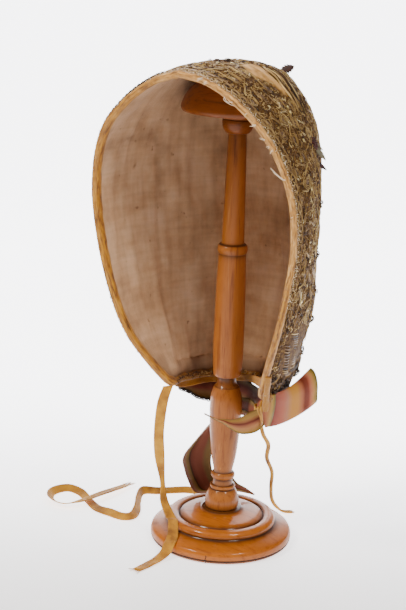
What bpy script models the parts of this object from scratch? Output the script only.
# Embroidered coif standing on a turned wooden hat stand, with its tapes and striped ribbon.
# Metres, +Z up. Origin: centre of the stand's foot on the table. The face opening looks along -Y.
import math

import bmesh
import bpy
import numpy as np

MM = 0.001

# Driving dimensions, in millimetres
SHELL_WALL = 1.6
LINING_GAP = 0.4
LINING_WALL = 1.0
BINDING_WALL = 0.7
BINDING_GAP = 0.45
BINDING_OUTSIDE = 2.5
BINDING_INSIDE = 5.5
HEM_PANEL = 7.0
RIBBON_WALL = 1.0
TAPE_WALL = 1.0
COIF_LEAN_DEGREES = 2.5
COIF_LEAN_HEIGHT = 385.0
BACK_POLE_Y = 60.0
BACK_POLE_Z = 262.0
DOME_PANELS = 8
# a rib's bend of one radian takes as many stations as this length does
BEND_LENGTH = 30.0

for old in list(bpy.data.objects):
    bpy.data.objects.remove(old, do_unlink=True)


def linear(hex_colour):
    """Turn an sRGB hex colour into the linear colour a shader takes."""
    values = []
    for start in (0, 2, 4):
        channel = int(hex_colour[start:start + 2], 16) / 255.0
        if channel <= 0.04045:
            values.append(channel / 12.92)
        else:
            values.append(((channel + 0.055) / 1.055) ** 2.4)
    return (values[0], values[1], values[2], 1.0)


def add_piece(name, verts, faces, colour, roughness, sharp_degrees=40.0):
    """Make one closed named body with its own material, faces turned outward."""
    mesh = bpy.data.meshes.new(name)
    mesh.from_pydata([tuple(v * MM) for v in np.asarray(verts, float)], [], faces)
    body = bmesh.new()
    body.from_mesh(mesh)
    bmesh.ops.recalc_face_normals(body, faces=body.faces)
    if body.calc_volume(signed=True) < 0:
        bmesh.ops.reverse_faces(body, faces=body.faces)
    body.to_mesh(mesh)
    body.free()
    mesh.shade_smooth()
    mesh.set_sharp_from_angle(angle=math.radians(sharp_degrees))
    material = bpy.data.materials.new(name)
    material.use_nodes = True
    shader = material.node_tree.nodes["Principled BSDF"]
    shader.inputs["Base Color"].default_value = linear(colour)
    shader.inputs["Roughness"].default_value = roughness
    mesh.materials.append(material)
    piece = bpy.data.objects.new(name, mesh)
    bpy.context.scene.collection.objects.link(piece)
    return piece


def through(rows, steps):
    """Smooth curve through the rows, with a number of steps for each span."""
    rows = np.asarray(rows, float)
    if np.isscalar(steps):
        steps = [steps] * (len(rows) - 1)
    padded = np.vstack([2 * rows[0] - rows[1], rows, 2 * rows[-1] - rows[-2]])
    points = []
    for i, count in enumerate(steps):
        a, b, c, d = padded[i:i + 4]
        for k in range(count):
            t = k / count
            points.append(0.5 * (2 * b + (c - a) * t + (2 * a - 5 * b + 4 * c - d) * t ** 2
                                 + (3 * b - a - 3 * c + d) * t ** 3))
    points.append(rows[-1])
    return np.array(points)


def unit(vectors):
    """Scale each vector to length one."""
    vectors = np.asarray(vectors, float)
    lengths = np.linalg.norm(vectors, axis=-1, keepdims=True)
    return vectors / np.maximum(lengths, 1e-9)


# Turned stand: a solid of revolution through rows of radius and height
def turned(name, profile, sides, colour):
    verts = []
    rings = []
    for radius, height in profile:
        if radius == 0:
            rings.append([len(verts)])
            verts.append((0, 0, height))
            continue
        ring = []
        for k in range(sides):
            angle = 2 * math.pi * k / sides
            ring.append(len(verts))
            verts.append((radius * math.cos(angle), radius * math.sin(angle), height))
        rings.append(ring)
    faces = []
    for low, high in zip(rings, rings[1:]):
        for k in range(sides):
            nxt = (k + 1) % sides
            if len(low) == 1:
                faces.append((low[0], high[nxt], high[k]))
            elif len(high) == 1:
                faces.append((low[k], low[nxt], high[0]))
            else:
                faces.append((low[k], low[nxt], high[nxt], high[k]))
    return add_piece(name, verts, faces, colour, 0.3, 32.0)


# radius, height
BASE_PROFILE = [
    (0.0, 0.0),
    (54.5, 0.0),
    (56.6, 2.0),
    (57.0, 5.0),
    (56.7, 8.0),
    (55.2, 9.8),
    (51.0, 11.4),
    (46.5, 13.0),
    (43.4, 14.6),
    (43.6, 17.0),
    (42.6, 19.4),
    (40.0, 20.8),
    (37.2, 21.0),
    (35.0, 20.4),
    (34.0, 19.6),
    (33.0, 21.2),
    (28.0, 22.4),
    (22.0, 23.6),
    (18.0, 24.4),
    (15.6, 25.8),
    (0.0, 25.8),
]
STEM_PROFILE = [
    (0.0, 26.1),
    (13.0, 26.1),
    (14.2, 29.0),
    (14.0, 33.5),
    (12.4, 38.5),
    (9.6, 42.6),
    (9.2, 45.0),
    (7.4, 46.8),
    (7.5, 49.6),
    (9.8, 51.4),
    (10.3, 53.6),
    (9.5, 55.8),
    (7.7, 57.2),
    (8.0, 61.0),
    (10.0, 76.0),
    (11.9, 97.0),
    (12.6, 114.0),
    (11.9, 123.0),
    (10.1, 128.0),
    (8.1, 129.6),
    (8.0, 133.0),
    (10.3, 134.6),
    (11.6, 143.0),
    (12.0, 160.0),
    (11.6, 205.0),
    (10.7, 237.2),
    (11.3, 239.4),
    (11.2, 243.8),
    (8.9, 246.2),
    (7.9, 292.0),
    (7.0, 335.2),
    (0.0, 335.2),
]
HEAD_PROFILE = [
    (0.0, 335.5),
    (8.6, 335.5),
    (11.9, 337.0),
    (12.6, 339.6),
    (11.2, 342.4),
    (10.4, 344.0),
    (24.0, 345.2),
    (40.0, 346.2),
    (43.0, 347.8),
    (43.6, 350.2),
    (42.0, 355.0),
    (39.2, 360.0),
    (34.8, 365.2),
    (28.0, 369.6),
    (19.0, 373.0),
    (10.0, 374.4),
    (0.0, 375.0),
]
turned("stand_base", BASE_PROFILE, 32, "9a5427")
turned("stand_stem", STEM_PROFILE, 20, "a35c2c")
turned("stand_head", HEAD_PROFILE, 28, "8f4c22")

# Coif body, right half. Each row is one rib: where it meets the opening, where it passes the
# girth of the cap, how full its run to the back is and the steps to the next rib. The ribs
# run from the crown's centre line down the face edge, round the lower corner and to the nape.
# rim x, rim y, rim z, girth x, girth y, girth z, fullness, steps
COIF_RIBS = [
    (0, -97, 384, 0, -42, 387.5, 0.90, 2),
    (24, -97, 378, 28, -42, 382.5, 0.86, 2),
    (48.5, -94, 361, 53, -46, 361, 0.77, 3),
    (68, -87, 335, 70, -54, 334, 0.63, 3),
    (79.5, -80, 300, 80.5, -60, 298, 0.48, 3),
    (81, -77, 262, 81, -62, 260, 0.44, 3),
    (75, -76, 228, 76, -62, 226, 0.45, 3),
    (65.5, -71, 196, 68, -55, 195, 0.50, 3),
    (54, -62, 168, 58.5, -47, 170, 0.53, 3),
    (41, -44, 139, 50.5, -29, 153, 0.54, 3),
    (43, -18, 134, 47, -9, 147, 0.54, 2),
    (38, 10, 131, 40.5, 15, 144, 0.53, 2),
    (24, 32, 128, 25.5, 36.5, 141, 0.52, 2),
    (0, 41, 126, 0, 46, 140, 0.50, 0),
]


def rib_curve(rim, girth, fullness, count=40):
    """Dense curve of one rib from the back pole over the girth to the rim."""
    pole = np.array([0.0, BACK_POLE_Y, BACK_POLE_Z])
    reach = girth - pole
    leave = pole + fullness * reach * np.array([1, 0, 1])
    arrive = girth - fullness * reach * np.array([0, 1, 0])
    t = np.linspace(0, 1, count)[:, None]
    dome = ((1 - t) ** 3 * pole + 3 * (1 - t) ** 2 * t * leave
            + 3 * (1 - t) * t ** 2 * arrive + t ** 3 * girth)
    turn = np.array([girth[0], (girth[1] + rim[1]) / 2, girth[2]])
    t = np.linspace(0, 1, 14)[1:, None]
    front = (1 - t) ** 2 * girth + 2 * t * (1 - t) * turn + t ** 2 * rim
    return np.vstack([dome, front])


def rib_stations(curve):
    """Points along a rib: closer together where it bends, the last panel of fixed length."""
    spans = np.diff(curve, axis=0)
    lengths = np.linalg.norm(spans, axis=1)
    along = np.concatenate([[0], np.cumsum(lengths)])
    headings = unit(spans)
    bend = np.arccos(np.clip((headings[1:] * headings[:-1]).sum(1), -1, 1))
    weight = lengths + BEND_LENGTH * np.concatenate([[0], bend])
    effort = np.concatenate([[0], np.cumsum(weight)])
    hem = along[-1] - HEM_PANEL
    last = np.interp(hem, along, effort)
    wanted = np.interp(np.linspace(0, last, DOME_PANELS + 1), effort, along)
    wanted = np.append(wanted, along[-1])
    return np.stack([np.interp(wanted, along, curve[:, i]) for i in range(3)], axis=1)


def coif_grid():
    """Outer surface points [rib, station] all the way round the opening."""
    ribs = np.array([row[:7] for row in COIF_RIBS], float)
    steps = [row[7] for row in COIF_RIBS[:-1]]
    smooth = through(ribs, steps)
    half = []
    for row in smooth:
        half.append(rib_stations(rib_curve(row[0:3], row[3:6], row[6])))
    half = np.array(half)
    other = half[-2:0:-1] * np.array([-1, 1, 1])
    return np.concatenate([half, other])


def grid_normals(grid):
    """Outward normals of the coif surface at the grid points."""
    around = np.roll(grid, -1, axis=0) - np.roll(grid, 1, axis=0)
    along = np.gradient(grid, axis=1)
    normals = unit(np.cross(along, around))
    middle_of_cap = np.array([0.0, -30.0, BACK_POLE_Z])
    facing = ((grid - middle_of_cap) * normals).sum(-1)
    halfway = grid.shape[1] // 2
    normals *= np.sign(facing[:, halfway, None, None])
    normals[:, 0] = (0, 1, 0)
    return normals


def leaned(points):
    """Tip the coif to its resting angle on the head of the stand."""
    points = np.asarray(points, float)
    angle = math.radians(COIF_LEAN_DEGREES)
    height = points[..., 2] - COIF_LEAN_HEIGHT
    result = points.copy()
    result[..., 0] = points[..., 0] * math.cos(angle) - height * math.sin(angle)
    result[..., 2] = (points[..., 0] * math.sin(angle) + height * math.cos(angle)
                      + COIF_LEAN_HEIGHT)
    return result


GRID = coif_grid()
NORMALS = grid_normals(GRID)


def layer(name, outer_depth, inner_depth, colour, roughness):
    """Closed cloth layer between two depths under the coif's outer surface."""
    ribs, stations = GRID.shape[:2]
    sheets = [leaned(GRID - NORMALS * depth) for depth in (outer_depth, inner_depth)]
    verts = []
    index = []
    for sheet in sheets:
        pole = len(verts)
        verts.append(sheet[:, 0].mean(axis=0))
        ids = np.empty((ribs, stations), int)
        ids[:, 0] = pole
        for station in range(1, stations):
            for rib in range(ribs):
                ids[rib, station] = len(verts)
                verts.append(sheet[rib, station])
        index.append(ids)
    faces = []
    for rib in range(ribs):
        nxt = (rib + 1) % ribs
        for ids in index:
            faces.append((ids[rib, 0], ids[rib, 1], ids[nxt, 1]))
            for k in range(1, stations - 1):
                faces.append((ids[rib, k], ids[rib, k + 1], ids[nxt, k + 1], ids[nxt, k]))
        faces.append((index[0][rib, -1], index[1][rib, -1], index[1][nxt, -1], index[0][nxt, -1]))
    return add_piece(name, verts, faces, colour, roughness)


LINING_DEPTH = SHELL_WALL + LINING_GAP
LINING_INSIDE = LINING_DEPTH + LINING_WALL
layer("coif_shell", 0.0, SHELL_WALL, "6e5b33", 0.6)
layer("coif_lining", LINING_DEPTH, LINING_INSIDE, "b39a80", 0.9)


# Binding: a folded tape in section, a short leg outside and a longer one inside
def binding():
    inside = LINING_INSIDE + BINDING_GAP
    fold = BINDING_GAP + BINDING_WALL
    # distance into the cloth from its edge, depth under the outer surface
    section = [
        (BINDING_OUTSIDE, -BINDING_GAP),
        (BINDING_OUTSIDE, -fold),
        (-fold, -fold),
        (-fold, inside + BINDING_WALL),
        (BINDING_INSIDE, inside + BINDING_WALL),
        (BINDING_INSIDE, inside),
        (-BINDING_GAP, inside),
        (-BINDING_GAP, -BINDING_GAP),
    ]
    rim = GRID[:, -1]
    hem = GRID[:, -2]
    into = unit(hem - rim)
    verts = []
    for rib in range(len(rim)):
        for distance, depth in section:
            share = min(max(distance / HEM_PANEL, 0), 1)
            normal = NORMALS[rib, -1] * (1 - share) + NORMALS[rib, -2] * share
            verts.append(leaned(rim[rib] + into[rib] * distance - normal * depth))
    count = len(section)
    faces = []
    for rib in range(len(rim)):
        nxt = (rib + 1) % len(rim)
        for k in range(count):
            k2 = (k + 1) % count
            faces.append((rib * count + k, rib * count + k2, nxt * count + k2, nxt * count + k))
    return add_piece("edge_binding", verts, faces, "a9812f", 0.8)


binding()


# Tape and ribbon: a closed strip between two edge lines
def strip(name, edge_a, edge_b, wall, colour, cup=0.0, roughness=0.7):
    """Solid strip between two edge lines, its middle raised by cup along the face normal."""
    edge_a = np.asarray(edge_a, float)
    edge_b = np.asarray(edge_b, float)
    middle = (edge_a + edge_b) / 2
    tangent = unit(np.gradient(middle, axis=0))
    across = unit(edge_b - edge_a)
    normal = unit(np.cross(tangent, across))
    raised = middle + normal * np.broadcast_to(np.asarray(cup, float), (len(middle),))[:, None]
    lines = [edge_a, raised, edge_b]
    if np.max(np.abs(cup)) == 0:
        lines = [edge_a, edge_b]
    section = [line + normal * wall / 2 for line in lines]
    section += [line - normal * wall / 2 for line in reversed(lines)]
    count = len(section)
    rows = len(edge_a)
    verts = [section[k][row] for row in range(rows) for k in range(count)]
    faces = []
    for row in range(rows - 1):
        for k in range(count):
            k2 = (k + 1) % count
            base = row * count
            faces.append((base + k, base + k2, base + count + k2, base + count + k))
    half = count // 2
    for base in (0, (rows - 1) * count):
        for k in range(half - 1):
            faces.append((base + k, base + k + 1, base + count - 2 - k, base + count - 1 - k))
    return add_piece(name, verts, faces, colour, roughness, 50.0)


def tape(name, rows, steps, colour):
    """Tape from rows of centre, width, plan turn of its width in degrees and its tilt."""
    rows = through(rows, steps)
    turn = np.radians(rows[:, 4])
    tilt = np.radians(rows[:, 5])
    across = np.stack([np.cos(turn) * np.cos(tilt), np.sin(turn) * np.cos(tilt), np.sin(tilt)], 1)
    half = across * rows[:, 3:4] / 2
    return strip(name, rows[:, :3] - half, rows[:, :3] + half, TAPE_WALL, colour)


# centre x, centre y, centre z, width, turn of the width, tilt of the width
TIE_LEFT = [
    (-29, -44, 135.5, 8.0, 27, 10),
    (-33, -45, 121, 8.5, 27, 5),
    (-37, -42, 96, 8.0, 27, 0),
    (-38.5, -37, 73, 8.0, 27, 0),
    (-39.5, -29, 48, 4.0, 40, 0),
    (-36, -32, 34, 6.5, 45, 0),
    (-28.5, -34.5, 22.8, 8.0, 40, 0),
    (-23.2, -39.6, 22.2, 8.0, 36, 0),
    (-20, -45, 16.2, 8.5, 30, 0),
    (-17.6, -51, 12.4, 9.0, 20, 0),
    (-16.6, -57.5, 9.8, 9.0, 10, 0),
    (-17.2, -62.5, 4.6, 9.0, 2, 0),
    (-19.5, -71, 1.6, 8.5, -6, 0),
    (-22, -81, 1.0, 8.0, -10, 0),
    (-24.5, -93, 1.0, 7.0, -12, 0),
]
TIE_RIGHT = [
    (39.2, -17.6, 110.0, 3.0, 27, 0),
    (38, -9, 98, 3.2, 27, 0),
    (37, 4, 85, 3.4, 27, 0),
    (30, 18, 68, 3.2, 27, 0),
    (28, 34, 50, 3.0, 27, 0),
    (23, 45, 33, 3.0, 27, 0),
    (19.5, 55, 18, 3.0, 27, 0),
    (21, 60, 9.5, 3.2, 10, 0),
    (26, 65, 3.6, 4.0, -40, 0),
    (31, 72, 1.4, 5.0, -50, 0),
]
TIE_NAPE = [
    (-13.5, 31.8, 125.2, 7.0, 40, 5),
    (-20, 43, 100, 7.0, 24, 0),
    (-25, 48, 70, 7.0, 27, 0),
    (-29, 55, 38, 7.0, 27, 0),
    (-34, 62, 14, 7.0, 40, 10),
    (-44, 66, 3.6, 7.0, 84, 20),
    (-65, 62, 3.2, 7.5, 98, 30),
    (-84, 47, 3.2, 7.5, 120, 30),
    (-95, 38, 4.2, 7.5, 150, 50),
    (-89, 20, 4.4, 7.5, 190, 55),
    (-80, 2, 3.8, 7.5, 196, 40),
    (-77, -11, 3.2, 7.5, 168, 30),
    (-83, -17, 3.2, 7.5, 120, 35),
    (-96, -16, 3.4, 7.5, 80, 35),
    (-111, -12, 2.4, 7.5, 54, 20),
    (-127, 0, 1.6, 7.5, 48, 8),
    (-141, 9, 2.6, 7.5, 70, 25),
    (-154, 9, 3.6, 7.5, 110, 40),
    (-160, -5, 4.0, 7.5, 180, 45),
    (-153, -18, 3.6, 7.5, 240, 35),
    (-138, -21, 3.4, 8.0, 290, 25),
    (-126, -9, 5.4, 8.0, 322, 8),
    (-120, 14, 5.2, 8.5, 344, 4),
    (-116, 44, 2.4, 9.0, 350, 12),
]
tape("tie_left", TIE_LEFT, 2, "b68a3c")
tape("tie_right", TIE_RIGHT, 2, "b6934a")
tape("tie_nape", TIE_NAPE, 2, "b88a34")


def ribbon(name, rows, steps, colour):
    """Ribbon from rows of its two edge points and the rise of its middle."""
    rows = through(rows, steps)
    return strip(name, rows[:, 0:3], rows[:, 3:6], RIBBON_WALL, colour, rows[:, 6], 0.55)


# upper or near edge x, y, z, then lower or far edge x, y, z, then the rise of the middle
NAPE_BAND = [
    (-32.6, -8, 129.5, -33, -9, 123.5, 0.0),
    (-31, 7, 126, -30, 7, 115, 1.0),
    (-22, 23, 123, -26, 21, 107, 1.5),
    (-7, 32, 120.5, -15, 31, 102, 1.5),
    (8, 30, 122, 1, 34, 100, 1.5),
    (19, 20, 123, 14, 25, 101, 1.5),
    (30, 6, 124.5, 25, 12, 104.5, 1.0),
    (36, -7, 124.5, 33, -3, 112, 0.5),
    (37, -10.7, 124.5, 35.5, -9.5, 112, 0.0),
]
TAIL_LONG = [
    (35.6, -16, 113, 35.9, -13.6, 117.6, 0.0),
    (32, -11, 113, 32, -6, 117, -0.5),
    (22, -2, 106, 21, 6, 118, -1.0),
    (10, 15, 101, 9, 18.5, 115, -1.0),
    (-4, 17.5, 98, -4, 23, 110, -1.5),
    (-13, 13, 93, -13, 25, 98, -2.5),
    (-19, 9.5, 87, -18, 27, 88, -4.0),
    (-28, 5, 74, -24, 26, 73, -6.0),
    (-36, 2, 58, -26, 26, 57, -7.0),
    (-37, 4, 46, -27, 28, 44, -6.0),
    (-35, 8, 33, -24, 31, 31, -3.0),
    (-30.5, 12, 26.2, -20, 35, 24.4, 0.0),
    (-20, 18, 25.8, -14, 43, 22.6, 0.5),
    (-8, 22, 26.6, -6, 49, 21.8, 0.5),
    (2, 29, 25.8, 4, 48, 22.2, 0.0),
    (10, 40, 23.8, 11, 43, 23.4, 0.0),
]
TAIL_SHORT = [
    (35.5, -24.2, 125, 40.6, -27.2, 110.5, 1.0),
    (30, -26, 120.5, 40.5, -35, 109.5, 2.0),
    (24, -25.5, 115, 34, -38, 106, 2.0),
    (16, -26, 112, 25, -38, 107, 2.0),
    (6, -27, 111.5, 9, -33, 111.5, 1.0),
    (-4, -30, 114.5, -3.5, -31.5, 115, 0.0),
]
LOOP = [
    (49, -12.5, 121, 61, 18, 139, 0.0),
    (47.5, -12.5, 115.5, 63, 18.5, 128, 0.0),
    (46.8, -13.5, 112.4, 65.5, 18.5, 121.8, 0.0),
    (47.2, -15.5, 111.2, 67, 17.6, 120.8, 0.0),
    (49, -17, 112.8, 68.5, 16.5, 122.6, 0.0),
    (47.0, -16.8, 121, 69, 15.5, 135, 0.0),
    (53.5, -16.5, 128, 66.8, 14.8, 150, 0.0),
]
ribbon("nape_band", NAPE_BAND, 2, "6b4440")
ribbon("ribbon_tail_long", TAIL_LONG, 2, "7a5548")
ribbon("ribbon_tail_short", TAIL_SHORT, 3, "8a6a58")
ribbon("ribbon_loop", LOOP, 2, "9b6f5a")


# Gathered ribbon and the tape turns round it
def bunch(name, centre, half_sizes, lean, folds, depth, colour):
    """Upright oval lump with rounded pleats."""
    across = 20
    levels = 9
    verts = []
    faces = []
    rings = []
    for level in range(levels + 1):
        rise = -math.pi / 2 + math.pi * level / levels
        if level in (0, levels):
            rings.append([len(verts)])
            verts.append((0, 0, half_sizes[2] * math.sin(rise)))
            continue
        ring = []
        for k in range(across):
            angle = 2 * math.pi * k / across
            swell = math.cos(rise) * (1 + depth * math.cos(folds * angle))
            ring.append(len(verts))
            verts.append((half_sizes[0] * swell * math.cos(angle),
                          half_sizes[1] * swell * math.sin(angle),
                          half_sizes[2] * math.sin(rise)))
        rings.append(ring)
    for low, high in zip(rings, rings[1:]):
        for k in range(across):
            nxt = (k + 1) % across
            if len(low) == 1:
                faces.append((low[0], high[nxt], high[k]))
            elif len(high) == 1:
                faces.append((low[k], low[nxt], high[0]))
            else:
                faces.append((low[k], low[nxt], high[nxt], high[k]))
    verts = np.array(verts, float)
    verts[:, 0] += verts[:, 2] * lean
    return add_piece(name, verts + np.array(centre, float), faces, colour, 0.6)


bunch("ribbon_knot", (39.8, -18.0, 120.0), (4.6, 4.6, 9.5), 0.05, 5, 0.12, "8b5f4c")


def ring_of_tape(name, centre, radius, height, wall, colour):
    """Two turns of tape drawn as one waisted band round the knot."""
    sides = 18
    section = [(radius, -height / 2), (radius + wall, -height / 2.4), (radius + wall * 0.6, 0),
               (radius + wall, height / 2.4), (radius, height / 2)]
    verts = []
    faces = []
    for k in range(sides):
        angle = 2 * math.pi * k / sides
        for r, z in section:
            verts.append((centre[0] + r * math.cos(angle), centre[1] + r * math.sin(angle),
                          centre[2] + z))
    count = len(section)
    for k in range(sides):
        nxt = (k + 1) % sides
        for i in range(count):
            j = (i + 1) % count
            faces.append((k * count + i, k * count + j, nxt * count + j, nxt * count + i))
    return add_piece(name, verts, faces, colour, 0.8)


ring_of_tape("knot_wrap", (39.8, -18.0, 121.5), 5.7, 6.0, 1.2, "b08c3e")


# Leaf that stands up behind the crown, a thin toothed plate
def leaf():
    # distance along the leaf, half width of the blade
    blade = [(0.0, 1.6), (2.4, 3.0), (3.2, 2.2), (5.6, 3.4), (6.4, 2.6), (8.4, 2.6),
             (9.2, 1.8), (11.0, 1.2), (12.4, 0.3)]
    root = np.array([24.6, 21.8, 377.6])
    along = unit(np.array([0.76, 0.40, 0.12]))
    side = unit(np.cross(np.array([0.44, -0.86, 0.26]), along))
    face = np.cross(along, side)
    front = []
    for distance, half in blade:
        front.append(root + along * distance + side * half)
    for distance, half in reversed(blade):
        front.append(root + along * distance - side * half)
    count = len(front)
    verts = [p + face * 0.5 for p in front] + [p - face * 0.5 for p in front]
    rows = len(blade)
    faces = []
    for k in range(rows - 1):
        faces.append((k, k + 1, count - 2 - k, count - 1 - k))
        faces.append((count + k, count + k + 1, 2 * count - 2 - k, 2 * count - 1 - k))
    for k in range(count):
        nxt = (k + 1) % count
        faces.append((k, nxt, count + nxt, count + k))
    return add_piece("crown_leaf", verts, faces, "3a2517", 0.7)


leaf()
